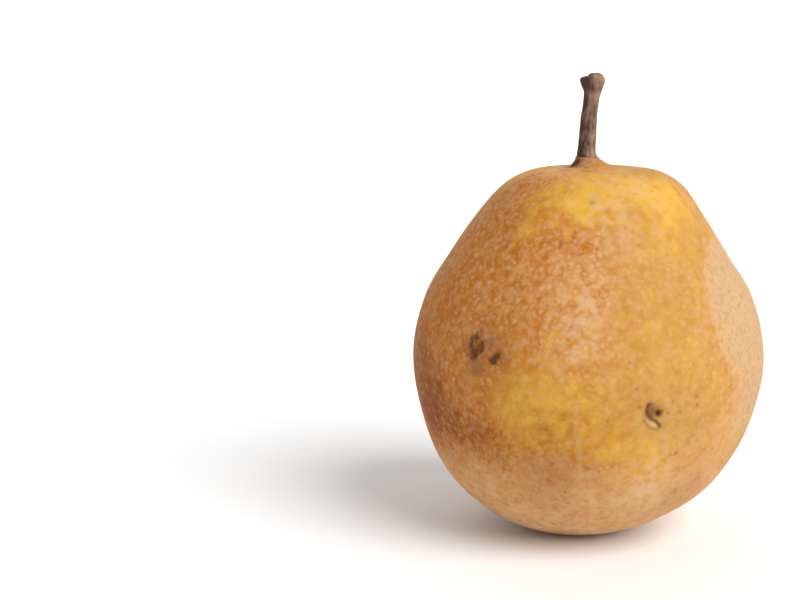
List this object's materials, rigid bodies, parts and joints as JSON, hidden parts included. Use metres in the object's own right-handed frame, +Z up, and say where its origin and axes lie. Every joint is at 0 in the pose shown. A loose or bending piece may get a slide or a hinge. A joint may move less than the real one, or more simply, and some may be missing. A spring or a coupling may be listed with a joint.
{
  "type": "pear",
  "caption": "Round russet pear standing on its calyx end, with a woody stem rising from a fleshy collar and dried sepals in the basin underneath.",
  "frame": {"origin": "on the surface that the pear stands on, under the middle of the whole part", "axes": "+Z up along the pear's core to the stem, +X to the right and +Y to the back as seen from the front"},
  "size_m": [0.0764, 0.0748, 0.1005],
  "materials": {
    "pear_skin": "satin",
    "stem_wood": "matte",
    "dried_calyx": "matte"
  },
  "bodies": {
    "root": {"pear_body": "pear_skin", "stem": "stem_wood", "calyx": "dried_calyx"}
  },
  "joints": []
}
